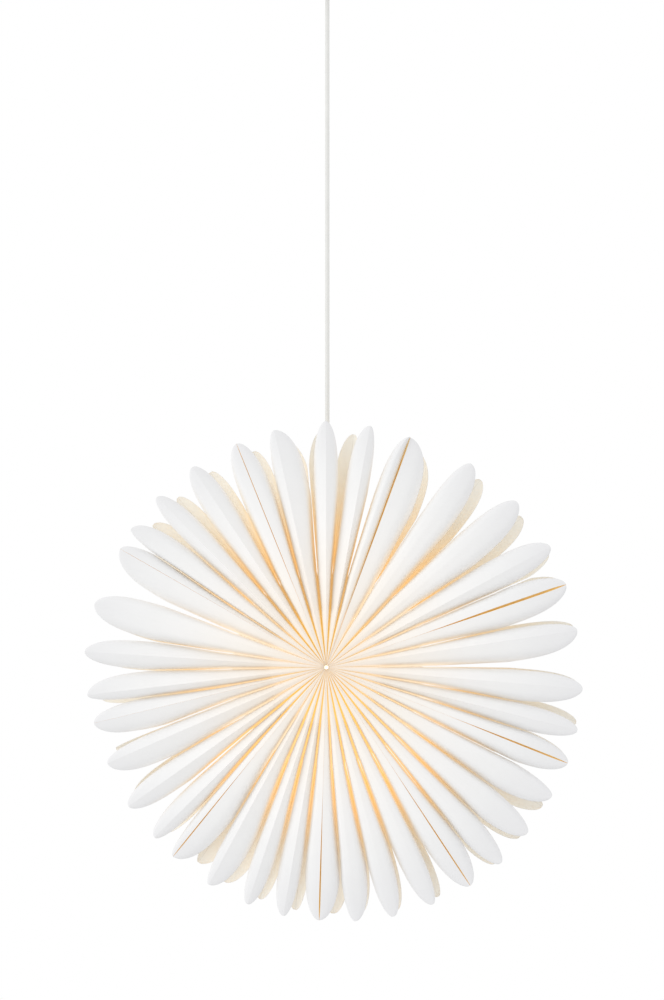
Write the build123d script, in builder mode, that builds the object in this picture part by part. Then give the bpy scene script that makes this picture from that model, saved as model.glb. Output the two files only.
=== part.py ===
from build123d import *
import os
from math import atan, cos, radians, sin, sqrt, tan

# Paper star lantern on a cord. Millimetres, +Z up, the lantern faces -Y.
# The origin is on the ceiling, midway between the two screw holes of the ceiling bracket.

# Lantern as it hangs
HUB_DROP = 905.0            # ceiling to the middle of the star
HUB_HOLE_RADIUS = 5.0       # the folds end here, round the hole in the middle
HUB_DEPTH = 57.0            # middle plane to a ridge beside the hub
TIP_DEPTH = 60.0            # middle plane to a ridge at its tip
PAPER = 0.3                 # paper thickness

# Where the front and back sheets meet, and the hollow for the bulb inside them
CAVITY_RADIUS = 72.0        # the valleys begin here
CAVITY_DEPTH = 55.0         # half the hollow's depth on the axis
NOTCH_RADIUS = 115.0        # the valleys end here and the petals part
VALLEY_FOLD = 1.5           # height of a valley's fold

# Shape of a petal
WIDEST_SHARE = 0.65         # where it is widest, as a share of the way from the notch to the tip
TIP_HALF_WIDTH = 1.6
TIP_ROUNDING = 3.0          # how full the rounded tip is
EDGE_SWEEP = 0.82           # how soon the cut edge curves away from the middle plane
SHOULDER_OUT = 0.7          # the fold's shoulder, as shares of the way from ridge to edge
SHOULDER_DOWN = 0.34
PETAL_CLEARANCE = 0.95      # share of the room beside a petal that it may fill
HUB_GAP = 0.72              # the same beside the hub, where the folds stand open
SEAM_GAP = 0.4              # slit between two sheets along a shared ridge
WALL_SHARE = 0.4            # share of a narrow fold's half width that its paper may take
SLIT_SHARE = 0.2            # the same for the slit
HOLLOW_SECTIONS = [0.55, 0.9]                       # as shares of the hollow's radius
FREE_SECTIONS = [0.3, 0.65, 0.82, 0.93, 0.98]       # as shares of the way from notch to tip

# Bearings of the front and back tips, in degrees from +X towards +Z, as this lantern was pulled
# open by hand: no two petals are spaced alike. The first is the petal that the cord runs in.
FRONT_TIPS = [
    90.4, 79.7, 69.9, 54.4, 40.8, 28.2, 19.0, 8.3, -4.9, -14.2, -21.7, -29.9,
    -39.6, -48.3, -56.6, -65.8, -74.9, -83.4, -91.6, -99.8, -108.4, -118.4, -129.0, -135.3,
    -144.9, -156.3, -166.5, -173.4, -183.7, -195.3, -209.9, -215.4, -225.1, -236.2, -248.1, -257.6,
]
BACK_TIPS = [
    93.0, 84.8, 69.9, 52.0, 38.7, 28.2, 21.8, 10.9, -1.8, -11.2, -21.3, -33.1,
    -42.3, -50.0, -57.3, -64.2, -75.0, -83.8, -89.8, -98.8, -107.5, -116.9, -124.8, -135.9,
    -148.0, -160.0, -167.0, -171.9, -183.0, -194.0, -210.8, -219.0, -228.1, -238.4, -250.1, -258.0,
]
# The glued valley after each petal, between it and the next one
VALLEYS = [
    86.9, 77.4, 60.4, 47.5, 35.6, 25.0, 13.0, 1.2, -9.1, -17.0, -26.6, -35.8,
    -44.7, -52.6, -62.1, -71.2, -79.2, -87.1, -96.7, -105.3, -113.2, -122.2, -133.1, -141.1,
    -150.2, -162.1, -169.8, -179.8, -188.9, -201.1, -212.8, -221.1, -230.2, -240.6, -253.1, -264.0,
]
# Hub to tip. The string round the folds sits a little above and to the left of the middle.
PETAL_LENGTHS = [
    297.0, 296.0, 295.0, 301.0, 304.0, 306.0, 305.0, 305.0, 309.0, 311.0, 312.0, 312.0,
    313.0, 315.0, 314.0, 312.0, 310.0, 307.0, 304.0, 303.0, 300.0, 297.0, 293.0, 291.0,
    291.0, 288.0, 288.0, 290.0, 292.0, 290.0, 287.0, 289.0, 290.0, 291.0, 291.0, 293.0,
]
# Ridge to edge at the widest place, on the side of the petal before and of the petal after
HALF_WIDTHS = [
    (14.7, 12.9), (14.8, 8.8), (17.6, 28.9), (15.5, 21.0), (17.4, 18.6), (19.2, 14.8),
    (18.0, 22.0), (12.8, 23.7), (19.4, 17.1), (16.2, 11.8), (18.0, 17.0), (12.2, 20.8),
    (14.0, 18.0), (14.2, 13.8), (15.6, 17.9), (10.9, 16.1), (13.2, 12.9), (16.6, 10.9),
    (18.5, 18.0), (7.4, 15.6), (12.4, 12.6), (17.9, 10.6), (23.5, 11.0), (11.1, 16.9),
    (13.7, 14.8), (19.9, 10.6), (19.1, 16.4), (9.3, 21.7), (15.5, 17.5), (21.9, 20.1),
    (25.3, 12.2), (8.4, 18.1), (12.7, 14.3), (16.9, 13.6), (18.2, 16.3), (11.3, 20.7),
]
PETALS_PER_SHEET = 4
FIRST_SEAM = 2              # index of the first petal whose ridge is a slit

# Cord
CORD_RADIUS = 2.75
CORE_RADIUS = 0.9           # one insulated conductor
CORE_SPACING = 2.6          # between the two conductors' centres
RUNNING_GAP = 0.3           # between pieces that move past each other
TURNING_GAP = 0.1           # round the bulb's contact tip

# Ceiling fitting
BRACKET_LENGTH = 76.0
BRACKET_WIDTH = 16.0
BRACKET_THICKNESS = 1.6
BRACKET_HOLE_SPACING = 60.0
BRACKET_HOLE_RADIUS = 2.3
TONGUE_WIDTH = 17.0         # the bracket's tongue, which the cord is clamped to
TONGUE_LENGTH = 30.0
CLAMP_HEIGHT = 8.0
CLAMP_THICKNESS = 1.4
CLAMP_DROP = 22.0           # ceiling to the middle of the clamp
CLAMP_SCREW_RADIUS = 1.2
CLAMP_HEAD_RADIUS = 1.8
CLAMP_HEAD_HEIGHT = 1.4
CLAMP_SCREW_LENGTH = 6.0
CUP_RADIUS = 46.0
CUP_HEIGHT = 60.0
CUP_WALL = 2.0
CUP_EDGE = 14.0             # rounding of the cup's lower edge
CEILING_CORE_BEND = 5.0
SCREW_SLOT = 0.6
CUP_CEILING_GAP = 0.4
COLLAR_RADIUS = 8.0         # cup grip: collar under the cup, neck through it, nut inside
COLLAR_HEIGHT = 9.0
COLLAR_EDGE = 1.5
COLLAR_NECK_RADIUS = 5.0
CUP_NUT_RADIUS = 8.5
CUP_NUT_HEIGHT = 4.0
NECK_STANDS_OUT = 1.0
CUP_SCREW_RADIUS = 1.5
TERMINAL_LENGTH = 20.0      # terminal block, along Y
TERMINAL_WIDTH = 13.0
TERMINAL_HEIGHT = 13.0
TERMINAL_OFFSET = 17.5      # from the cord's axis to the block's middle
TERMINAL_SHIFT = -3.0       # and to the front, so that the conductors clear the tongue
POLE_SPACING = 8.0
WIRE_HOLE_RADIUS = 1.3
WIRE_HOLE_DROP = 9.5        # ceiling to the wire holes
WIRE_REACH = 5.0            # length of wire inside the block
WIRE_TURN = 2.5             # from the block to where the wire turns towards it
TERMINAL_SCREW_RADIUS = 1.4
TERMINAL_SCREW_SPACING = 6.4
TERMINAL_SCREW_LENGTH = 3.0

# Hanger bar and lampholder
BAR_LENGTH = 46.0
BAR_WIDTH = 12.0
BAR_THICKNESS = 1.2
BAR_MIDDLE_LENGTH = 22.0
BAR_END_LENGTH = 6.5
BAR_SEAT = 56.8             # height above the hub of the holder's top, where the bar's middle lies
BAR_END_DROP = 2.3          # from where the valleys begin down to the top of the bar's ends
HOLE_CLEARANCE = 0.2
HOLDER_RADIUS = 13.5
HOLDER_WALL = 1.8
CAP_HEIGHT = 20.0
CAP_EDGE = 5.0
BARREL_HEIGHT = 22.0
BARREL_NECK_HEIGHT = 6.0
BARREL_LIP = 1.0
CORD_GRIP_RADIUS = 5.0
CORD_GRIP_HEIGHT = 11.5
CORD_GRIP_EDGE = 1.2
CORD_GRIP_STEM_RADIUS = 4.0
CORD_GRIP_STEM = 6.0
GRUB_RADIUS = 1.2
CORD_TAIL = 2.0             # length of cord below the grip's stem
CONTACT_BLOCK_HEIGHT = 6.0
CONTACT_BLOCK_DROP = 2.0    # from the cap's edge down to the block's underside
SHELL_RADIUS = 7.7
SHELL_WALL = 0.4
SHELL_HEIGHT = 16.0
CONTACT_THICKNESS = 0.5
CONTACT_WIDTH = 4.0
RISER_OFFSET = 2.2          # from the axis to a contact strip's rising leg
TAB_LENGTH = 7.0
CENTRE_FOOT = 1.2           # how far the centre contact reaches past the axis
CONTACT_SCREW_OFFSET = 6.8
CONTACT_SCREW_RADIUS = 1.2
CONTACT_SCREW_LENGTH = 4.5
CONTACT_HEAD_RADIUS = 2.2
CONTACT_HEAD_HEIGHT = 1.2
HOLDER_CORE_RADIUS = 0.8
HOLDER_CORE_BEND = 4.5

# Bulb
BULB_CAP_RADIUS = 6.9
BULB_CAP_LENGTH = 19.0
BULB_CAP_WALL = 0.3
SKIRT_RADIUS = 10.0
SKIRT_FLARE = 2.0
SKIRT_LENGTH = 6.0
INSULATOR_RADIUS = 5.0
INSULATOR_TOP_RADIUS = 3.4
INSULATOR_HEIGHT = 2.2
INSULATOR_SPIGOT = 1.5
CONTACT_TIP_RADIUS = 2.4
CONTACT_TIP_HEIGHT = 1.4
BULB_LENGTH = 78.0
GLOBE_RADIUS = 22.5
GLASS = 0.9
GLASS_NECK_RADIUS = 9.5
GLASS_OVERLAP = 3.0         # glass neck inside the skirt
STEM_RADIUS = 3.2
STEM_LENGTH = 22.0
STEM_FLARE_HEIGHT = 1.2
FILAMENT_RADIUS = 0.8
FILAMENT_LENGTH = 20.0
FILAMENT_RING = 7.0
FILAMENTS = 4
WIRE_RADIUS = 0.3

# Heights that follow from the sizes above
HUB = -HUB_DROP
SEAT = HUB + BAR_SEAT
BAR_TOP = SEAT + BAR_THICKNESS
STEM_BOTTOM = BAR_TOP - CORD_GRIP_STEM
CORD_BOTTOM = STEM_BOTTOM - CORD_TAIL
CAP_BOTTOM = SEAT - CAP_HEIGHT
BARREL_BOTTOM = CAP_BOTTOM - BARREL_HEIGHT
NECK_TOP = CAP_BOTTOM + BARREL_NECK_HEIGHT
NECK_RADIUS = HOLDER_RADIUS - HOLDER_WALL - HOLE_CLEARANCE
BLOCK_RADIUS = NECK_RADIUS - HOLDER_WALL
BLOCK_BOTTOM = CAP_BOTTOM - CONTACT_BLOCK_DROP
BLOCK_TOP = BLOCK_BOTTOM + CONTACT_BLOCK_HEIGHT
CONTACT_FACE = BLOCK_BOTTOM - CONTACT_THICKNESS
BULB_TOP = CONTACT_FACE - RUNNING_GAP
INSULATOR_TOP = BULB_TOP - CONTACT_TIP_HEIGHT
BULB_CAP_TOP = INSULATOR_TOP - INSULATOR_HEIGHT
SKIRT_TOP = BULB_CAP_TOP - BULB_CAP_LENGTH
SKIRT_BOTTOM = SKIRT_TOP - SKIRT_LENGTH
GLASS_TOP = SKIRT_BOTTOM + GLASS_OVERLAP
GLOBE_CENTRE = BULB_TOP - BULB_LENGTH + GLOBE_RADIUS
FILAMENT_TOP = GLOBE_CENTRE + FILAMENT_LENGTH / 2
CUP_TOP = -CUP_CEILING_GAP
CUP_BOTTOM = CUP_TOP - CUP_HEIGHT
CUP_FLOOR = CUP_BOTTOM + CUP_WALL
CLAMP_TOP = -CLAMP_DROP + CLAMP_HEIGHT / 2
CORD_TOP = CLAMP_TOP + 3 * CORE_RADIUS

os.makedirs("parts", exist_ok=True)


def save(builder, name):
    builder.part.label = name
    export_step(builder.part, f"parts/{name}.step")


# Folded paper sheets

PETALS = len(FRONT_TIPS)
SHEETS = PETALS // PETALS_PER_SHEET
MIDDLE_BEARINGS = [(front + back) / 2 for front, back in zip(FRONT_TIPS, BACK_TIPS)]


def angle_between(bearing, other):
    """The angle between two bearings, in degrees."""
    return abs((other - bearing + 180) % 360 - 180)


def section_radii(length):
    """Where a petal of this length is drawn, from the hub to its tip."""
    hollow = [share * CAVITY_RADIUS for share in HOLLOW_SECTIONS]
    free = [NOTCH_RADIUS + share * (length - NOTCH_RADIUS) for share in FREE_SECTIONS]
    return [HUB_HOLE_RADIUS, *hollow, CAVITY_RADIUS, NOTCH_RADIUS, *free, length]


def ridge_depth(radius, length):
    """Middle plane to the ridge."""
    return HUB_DEPTH + (TIP_DEPTH - HUB_DEPTH) * radius / length


def edge_depth(radius, length):
    """Middle plane to the lower edge of a petal's face."""
    if radius < CAVITY_RADIUS:
        return CAVITY_DEPTH * sqrt(1 - (radius / CAVITY_RADIUS) ** 2)
    if radius <= NOTCH_RADIUS:
        return 0.0
    along = (radius - NOTCH_RADIUS) / (length - NOTCH_RADIUS)
    return (TIP_DEPTH - TIP_HALF_WIDTH) * along**EDGE_SWEEP


def side_reach(petal, radius, tips, side):
    """How far a ridge lies off its petal's middle bearing, and how far its face reaches from it.

    side is 1 towards the petal before and -1 towards the petal after; both lengths are measured
    across the petal, to that side.
    """
    length = PETAL_LENGTHS[petal]
    other = (petal - side) % PETALS
    before = side > 0
    own_width = HALF_WIDTHS[petal][0 if before else 1]
    other_width = HALF_WIDTHS[other][1 if before else 0]
    ridge = side * (tips[petal] - MIDDLE_BEARINGS[petal])
    valley = angle_between(MIDDLE_BEARINGS[petal], VALLEYS[other if before else petal])
    parting = ridge + angle_between(tips[petal], tips[other]) * own_width / (own_width + other_width)
    along = max(0.0, (radius - NOTCH_RADIUS) / (length - NOTCH_RADIUS))
    opened = min(1.0, along / WIDEST_SHARE)
    limit = valley + (parting - valley) * opened
    room = radius * (tan(radians(limit)) - tan(radians(ridge)))
    shift = radius * tan(radians(ridge))
    if radius < CAVITY_RADIUS:
        return shift, (HUB_GAP + (1 - HUB_GAP) * (radius / CAVITY_RADIUS) ** 4) * room
    if radius <= NOTCH_RADIUS:
        return shift, room
    notch_width = NOTCH_RADIUS * (tan(radians(valley)) - tan(radians(ridge)))
    width = notch_width + (own_width - notch_width) * opened
    if along > WIDEST_SHARE:
        beyond = (along - WIDEST_SHARE) / (1 - WIDEST_SHARE)
        closing = sqrt(max(0.0, 1 - beyond**TIP_ROUNDING))
        width = TIP_HALF_WIDTH + (own_width - TIP_HALF_WIDTH) * closing
    return shift, min(width, PETAL_CLEARANCE * room)


def face_points(radius, length, shift, reach, seam):
    """Outer and inner points of one face in a section, from the ridge to the lower edge."""
    top = ridge_depth(radius, length)
    low = edge_depth(radius, length)
    joined = CAVITY_RADIUS <= radius <= NOTCH_RADIUS
    if joined:
        low = VALLEY_FOLD
    wall = min(PAPER, WALL_SHARE * reach)
    start = min(SEAM_GAP / 2, SLIT_SHARE * reach) if seam else 0.0
    edge = shift + reach
    shoulder = shift + SHOULDER_OUT * reach
    bend = top - SHOULDER_DOWN * (top - low)
    outer = [(shift + start, top), (shoulder, bend), (edge, low)]
    if joined:
        inner_edge = (edge, 0.0)
    else:
        slope = atan((bend - low) / (edge - shoulder))
        inner_edge = (edge - wall * sin(slope), low - wall * cos(slope))
    inner = [(shift + start, top - 2 * wall), (shoulder - wall, bend - wall), inner_edge]
    return outer, inner


def section_points(petal, radius, facing, sides):
    """The closed outline of a petal's paper at one distance from the hub."""
    tips = FRONT_TIPS if facing > 0 else BACK_TIPS
    seam = len(sides) == 1
    outline_out, outline_in = [], []
    for side in sides:
        shift, reach = side_reach(petal, radius, tips, side)
        outer, inner = face_points(radius, PETAL_LENGTHS[petal], shift, reach, seam)
        outline_out.append([(side * x, facing * y) for x, y in outer])
        outline_in.append([(side * x, facing * y) for x, y in inner])
    if seam:
        return outline_out[0] + outline_in[0][::-1]
    outside = outline_out[0][::-1] + outline_out[1][1:]
    inside = outline_in[0][::-1] + outline_in[1][1:]
    return outside + inside[::-1]


def section_plane(petal, radius):
    """Square to the petal's middle bearing, local x across the petal and local y to the front."""
    angle = radians(MIDDLE_BEARINGS[petal])
    return Plane(
        origin=(radius * cos(angle), 0, HUB + radius * sin(angle)),
        x_dir=(-sin(angle), 0, cos(angle)),
        z_dir=(cos(angle), 0, sin(angle)),
    )


def sheet_petals(sheet):
    """The petals of one sheet and the sides of each that belong to it: it ends on two ridges."""
    first = FIRST_SEAM + PETALS_PER_SHEET * (sheet - 2)
    petals = [(first % PETALS, (-1,))]
    petals += [((first + step) % PETALS, (1, -1)) for step in range(1, PETALS_PER_SHEET)]
    petals += [((first + PETALS_PER_SHEET) % PETALS, (1,))]
    return petals


def petal_paper(petal, facing, sides):
    """One petal's paper, or one half of it, from the hub to the tip."""
    with BuildPart() as paper:
        for radius in section_radii(PETAL_LENGTHS[petal]):
            with BuildSketch(section_plane(petal, radius)):
                with BuildLine():
                    Polyline(*section_points(petal, radius, facing, sides), close=True)
                make_face()
        loft(ruled=True, clean=False)
    return paper.part


for facing, side_name in ((1, "front"), (-1, "back")):
    for number in range(1, SHEETS + 1):
        petals = [petal_paper(petal, facing, sides) for petal, sides in sheet_petals(number)]
        with BuildPart() as sheet:
            add(petals, clean=False)
        save(sheet, f"{side_name}_sheet_{number}")

# Ceiling bracket: a strip with two screw holes and a tongue that the cord is clamped to

TONGUE_FACE = CORD_RADIUS
SCREW_HOLE_RADIUS = CLAMP_SCREW_RADIUS + HOLE_CLEARANCE / 2
EAR_INNER = CORD_RADIUS + CLAMP_THICKNESS
CLAMP_SCREW_OFFSET = (EAR_INNER + TONGUE_WIDTH / 2) / 2

with BuildPart() as bracket:
    with BuildSketch():
        SlotOverall(BRACKET_LENGTH, BRACKET_WIDTH)
        with GridLocations(BRACKET_HOLE_SPACING, 0, 2, 1):
            Circle(BRACKET_HOLE_RADIUS, mode=Mode.SUBTRACT)
    extrude(amount=-BRACKET_THICKNESS)
    with BuildSketch(Plane.XZ.offset(-TONGUE_FACE)):
        with Locations((0, -TONGUE_LENGTH / 2)):
            Rectangle(TONGUE_WIDTH, TONGUE_LENGTH)
        with Locations((0, -CLAMP_DROP)):
            with GridLocations(2 * CLAMP_SCREW_OFFSET, 0, 2, 1):
                Circle(SCREW_HOLE_RADIUS, mode=Mode.SUBTRACT)
    extrude(amount=-BRACKET_THICKNESS)
save(bracket, "ceiling_bracket")

# Cord clamp: a saddle bent round the cord, screwed to the tongue

with BuildPart() as clamp:
    with BuildSketch(Plane.XY.offset(-CLAMP_DROP - CLAMP_HEIGHT / 2)):
        Circle(EAR_INNER)
        with Locations((0, TONGUE_FACE - CLAMP_THICKNESS / 2)):
            Rectangle(TONGUE_WIDTH, CLAMP_THICKNESS)
        with Locations((0, TONGUE_FACE + EAR_INNER / 2)):
            Rectangle(2 * EAR_INNER, EAR_INNER, mode=Mode.SUBTRACT)
        with Locations((0, CORD_RADIUS)):
            Rectangle(2 * CORD_RADIUS, 2 * CORD_RADIUS, mode=Mode.SUBTRACT)
        Circle(CORD_RADIUS, mode=Mode.SUBTRACT)
    extrude(amount=CLAMP_HEIGHT)
    with BuildSketch(Plane.XZ.offset(-TONGUE_FACE)):
        with Locations((0, -CLAMP_DROP)):
            with GridLocations(2 * CLAMP_SCREW_OFFSET, 0, 2, 1):
                Circle(SCREW_HOLE_RADIUS)
    extrude(amount=2 * CLAMP_THICKNESS, mode=Mode.SUBTRACT)
save(clamp, "cord_clamp")

with BuildPart() as clamp_screws:
    with BuildSketch(Plane.XZ.offset(CLAMP_THICKNESS - TONGUE_FACE)):
        with Locations((0, -CLAMP_DROP)):
            with GridLocations(2 * CLAMP_SCREW_OFFSET, 0, 2, 1):
                Circle(CLAMP_HEAD_RADIUS)
    extrude(amount=CLAMP_HEAD_HEIGHT)
    with BuildSketch(Plane.XZ.offset(CLAMP_THICKNESS - TONGUE_FACE)):
        with Locations((0, -CLAMP_DROP)):
            with GridLocations(2 * CLAMP_SCREW_OFFSET, 0, 2, 1):
                Circle(CLAMP_SCREW_RADIUS)
    extrude(amount=-CLAMP_SCREW_LENGTH)
save(clamp_screws, "clamp_screws")

# Terminal block under the bracket, with its screws from below and the cord's two conductors

TERMINAL_TOP = -BRACKET_THICKNESS
TERMINAL_BOTTOM = TERMINAL_TOP - TERMINAL_HEIGHT
TERMINAL_SIDE = TERMINAL_OFFSET - TERMINAL_WIDTH / 2
POLES = [TERMINAL_SHIFT - POLE_SPACING / 2, TERMINAL_SHIFT + POLE_SPACING / 2]
TERMINAL_SCREW_TOP = -WIRE_HOLE_DROP - WIRE_HOLE_RADIUS

with BuildPart() as terminal:
    with BuildSketch(Plane.XY.offset(TERMINAL_BOTTOM)):
        with Locations((TERMINAL_OFFSET, TERMINAL_SHIFT)):
            RectangleRounded(TERMINAL_WIDTH, TERMINAL_LENGTH, 1)
    extrude(amount=TERMINAL_HEIGHT)
    with BuildSketch(Plane.YZ.offset(TERMINAL_SIDE)):
        with Locations((TERMINAL_SHIFT, -WIRE_HOLE_DROP)):
            with GridLocations(POLE_SPACING, 0, 2, 1):
                Circle(WIRE_HOLE_RADIUS)
    extrude(amount=TERMINAL_WIDTH, mode=Mode.SUBTRACT)
    with BuildSketch(Plane.XY.offset(TERMINAL_BOTTOM)):
        with Locations((TERMINAL_OFFSET, TERMINAL_SHIFT)):
            with GridLocations(TERMINAL_SCREW_SPACING, POLE_SPACING, 2, 2):
                Circle(TERMINAL_SCREW_RADIUS + HOLE_CLEARANCE / 2)
    extrude(amount=-WIRE_HOLE_DROP - TERMINAL_BOTTOM, mode=Mode.SUBTRACT)
save(terminal, "terminal_block")

with BuildPart() as terminal_screws:
    with BuildSketch(Plane.XY.offset(TERMINAL_SCREW_TOP - TERMINAL_SCREW_LENGTH)):
        with Locations((TERMINAL_OFFSET, TERMINAL_SHIFT)):
            with GridLocations(TERMINAL_SCREW_SPACING, POLE_SPACING, 2, 2):
                Circle(TERMINAL_SCREW_RADIUS)
    extrude(amount=TERMINAL_SCREW_LENGTH)
    with BuildSketch(Plane.XY.offset(TERMINAL_SCREW_TOP - TERMINAL_SCREW_LENGTH)):
        with Locations((TERMINAL_OFFSET, TERMINAL_SHIFT)):
            with GridLocations(TERMINAL_SCREW_SPACING, POLE_SPACING, 2, 2):
                Rectangle(2 * TERMINAL_SCREW_RADIUS, SCREW_SLOT)
    extrude(amount=SCREW_SLOT, mode=Mode.SUBTRACT)
save(terminal_screws, "terminal_screws")


def conductor(route, radii, core_radius):
    """One insulated conductor along a route of straight runs and arcs."""
    with BuildPart() as core:
        with BuildLine() as path:
            FilletPolyline(*route, radius=radii)
        with BuildSketch(Plane(origin=path.line @ 0, z_dir=path.line % 0)):
            Circle(core_radius)
        sweep()
    return core.part


ceiling_cores = [
    conductor(
        [
            (0, side * CORE_SPACING / 2, CORD_TOP),
            (0, side * CORE_SPACING / 2, -WIRE_HOLE_DROP),
            (TERMINAL_SIDE - WIRE_TURN, pole, -WIRE_HOLE_DROP),
            (TERMINAL_SIDE + WIRE_REACH, pole, -WIRE_HOLE_DROP),
        ],
        [CEILING_CORE_BEND, CEILING_CORE_BEND],
        CORE_RADIUS,
    )
    for side, pole in zip((-1, 1), POLES)
]
with BuildPart() as ceiling_conductors:
    add(ceiling_cores)
save(ceiling_conductors, "ceiling_conductors")

# Ceiling cup, open at the ceiling, and the grip that holds it on the cord

BORE_RADIUS = CORD_RADIUS + RUNNING_GAP

with BuildPart() as cup:
    with BuildSketch(Plane.XY.offset(CUP_BOTTOM)):
        Circle(CUP_RADIUS)
    extrude(amount=CUP_HEIGHT)
    fillet(cup.edges().group_by(Axis.Z)[0], CUP_EDGE)
    offset(amount=-CUP_WALL, openings=cup.faces().sort_by(Axis.Z)[-1])
    with BuildSketch(Plane.XY.offset(CUP_BOTTOM)):
        Circle(COLLAR_NECK_RADIUS + HOLE_CLEARANCE)
    extrude(amount=CUP_WALL, mode=Mode.SUBTRACT)
save(cup, "ceiling_cup")

NECK_END = CUP_FLOOR + CUP_NUT_HEIGHT + NECK_STANDS_OUT
CUP_SCREW_HEIGHT = CUP_BOTTOM - COLLAR_HEIGHT / 2

with BuildPart() as grip:
    with BuildSketch(Plane.XY.offset(CUP_BOTTOM)):
        Circle(COLLAR_RADIUS)
    extrude(amount=-COLLAR_HEIGHT)
    fillet(grip.edges().group_by(Axis.Z)[0], COLLAR_EDGE)
    with BuildSketch(Plane.XY.offset(CUP_BOTTOM)):
        Circle(COLLAR_NECK_RADIUS)
    extrude(amount=NECK_END - CUP_BOTTOM)
    with BuildSketch(Plane.XY.offset(CUP_BOTTOM - COLLAR_HEIGHT)):
        Circle(BORE_RADIUS)
    extrude(amount=COLLAR_HEIGHT + NECK_END - CUP_BOTTOM, mode=Mode.SUBTRACT)
    with BuildSketch(Plane.YZ):
        with Locations((0, CUP_SCREW_HEIGHT)):
            Circle(CUP_SCREW_RADIUS + HOLE_CLEARANCE / 2)
    extrude(amount=COLLAR_RADIUS, mode=Mode.SUBTRACT)
save(grip, "cup_grip")

with BuildPart() as cup_screw:
    with BuildSketch(Plane.YZ.offset(BORE_RADIUS)):
        with Locations((0, CUP_SCREW_HEIGHT)):
            Circle(CUP_SCREW_RADIUS)
    extrude(amount=COLLAR_RADIUS - BORE_RADIUS)
    with BuildSketch(Plane.YZ.offset(COLLAR_RADIUS - SCREW_SLOT)):
        with Locations((0, CUP_SCREW_HEIGHT)):
            Rectangle(2 * CUP_SCREW_RADIUS, SCREW_SLOT)
    extrude(amount=SCREW_SLOT, mode=Mode.SUBTRACT)
save(cup_screw, "cup_screw")

with BuildPart() as cup_nut:
    with BuildSketch(Plane.XY.offset(CUP_FLOOR)):
        RegularPolygon(CUP_NUT_RADIUS, 6)
        Circle(COLLAR_NECK_RADIUS, mode=Mode.SUBTRACT)
    extrude(amount=CUP_NUT_HEIGHT)
save(cup_nut, "cup_nut")

# Cord, pulled straight by the lantern's weight, from the clamp to the holder cap

with BuildPart() as cord:
    with BuildSketch(Plane.XY.offset(CORD_BOTTOM)):
        Circle(CORD_RADIUS)
    extrude(amount=CORD_TOP - CORD_BOTTOM)
save(cord, "cord")

# Hanger bar: a bent strip on the holder, whose ends carry the top sheets at their outer valleys

OUTER_VALLEYS = [VALLEYS[FIRST_SEAM - PETALS_PER_SHEET], VALLEYS[FIRST_SEAM - 1]]
VALLEY_START = min(CAVITY_RADIUS * sin(radians(bearing)) for bearing in OUTER_VALLEYS)
BAR_END_TOP = HUB + VALLEY_START - BAR_END_DROP
BAR_END_INSIDE = BAR_LENGTH / 2 - BAR_END_LENGTH
BAR_SIDE = [
    (-BAR_LENGTH / 2, BAR_END_TOP),
    (-BAR_END_INSIDE, BAR_END_TOP),
    (-BAR_MIDDLE_LENGTH / 2, BAR_TOP),
    (BAR_MIDDLE_LENGTH / 2, BAR_TOP),
    (BAR_END_INSIDE, BAR_END_TOP),
    (BAR_LENGTH / 2, BAR_END_TOP),
]

with BuildPart() as bar:
    with BuildSketch(Plane.XZ.offset(-BAR_WIDTH / 2)):
        with BuildLine():
            Polyline(*BAR_SIDE, *[(x, z - BAR_THICKNESS) for x, z in reversed(BAR_SIDE)], close=True)
        make_face()
    extrude(amount=BAR_WIDTH)
    with BuildSketch(Plane.XY.offset(SEAT)):
        Circle(CORD_GRIP_STEM_RADIUS)
    extrude(amount=BAR_THICKNESS, mode=Mode.SUBTRACT)
save(bar, "hanger_bar")

# Cord grip: a nylon plug whose stem screws through the bar into the holder cap

with BuildPart() as cord_grip:
    with BuildSketch(Plane.XY.offset(BAR_TOP)):
        Circle(CORD_GRIP_RADIUS)
    extrude(amount=CORD_GRIP_HEIGHT)
    chamfer(cord_grip.edges().group_by(Axis.Z)[-1], CORD_GRIP_EDGE)
    with BuildSketch(Plane.XY.offset(STEM_BOTTOM)):
        Circle(CORD_GRIP_STEM_RADIUS)
    extrude(amount=CORD_GRIP_STEM)
    with BuildSketch(Plane.XY.offset(STEM_BOTTOM)):
        Circle(BORE_RADIUS)
    extrude(amount=CORD_GRIP_STEM + CORD_GRIP_HEIGHT, mode=Mode.SUBTRACT)
    with BuildSketch(Plane.XZ):
        with Locations((0, BAR_TOP + CORD_GRIP_HEIGHT / 2)):
            Circle(GRUB_RADIUS + HOLE_CLEARANCE / 2)
    extrude(amount=CORD_GRIP_RADIUS, mode=Mode.SUBTRACT)
save(cord_grip, "cord_grip")

with BuildPart() as grip_screw:
    with BuildSketch(Plane.XZ.offset(BORE_RADIUS)):
        with Locations((0, BAR_TOP + CORD_GRIP_HEIGHT / 2)):
            Circle(GRUB_RADIUS)
    extrude(amount=CORD_GRIP_RADIUS - BORE_RADIUS)
save(grip_screw, "grip_screw")

# Lampholder: cap, barrel, contact block, threaded shell, contact strips, screws and conductors

with BuildPart() as holder_cap:
    with BuildSketch(Plane.XY.offset(CAP_BOTTOM)):
        Circle(HOLDER_RADIUS)
    extrude(amount=CAP_HEIGHT)
    fillet(holder_cap.edges().group_by(Axis.Z)[-1], CAP_EDGE)
    offset(amount=-HOLDER_WALL, openings=holder_cap.faces().sort_by(Axis.Z)[0])
    with BuildSketch(Plane.XY.offset(SEAT)):
        Circle(CORD_GRIP_STEM_RADIUS)
    extrude(amount=-HOLDER_WALL, mode=Mode.SUBTRACT)
save(holder_cap, "holder_cap")

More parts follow.
